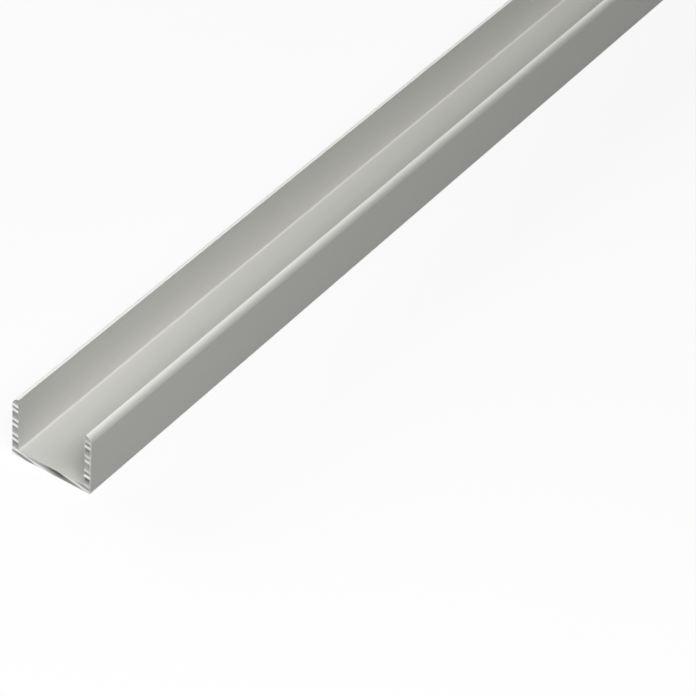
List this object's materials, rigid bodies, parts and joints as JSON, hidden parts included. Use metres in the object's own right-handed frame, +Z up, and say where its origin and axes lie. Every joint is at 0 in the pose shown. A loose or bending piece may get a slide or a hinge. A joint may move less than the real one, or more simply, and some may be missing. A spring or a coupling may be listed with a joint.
{
  "type": "aluminium u-channel profile",
  "caption": "Straight stock length of extruded aluminium U-channel with a plain open slot and outer-rounded flange tips, for edging boards and panels.",
  "frame": {"origin": "on the underside of the web, halfway along the length and halfway across the width", "axes": "+X across the section from flange to flange, +Y along the length, +Z up out of the open slot"},
  "size_m": [0.02, 1, 0.015],
  "materials": {
    "anodised_aluminium": "silver satin-anodised along the length, bare and coarsely saw-marked on both cut ends"
  },
  "bodies": {
    "root": {"u_channel": "anodised_aluminium"}
  },
  "joints": []
}
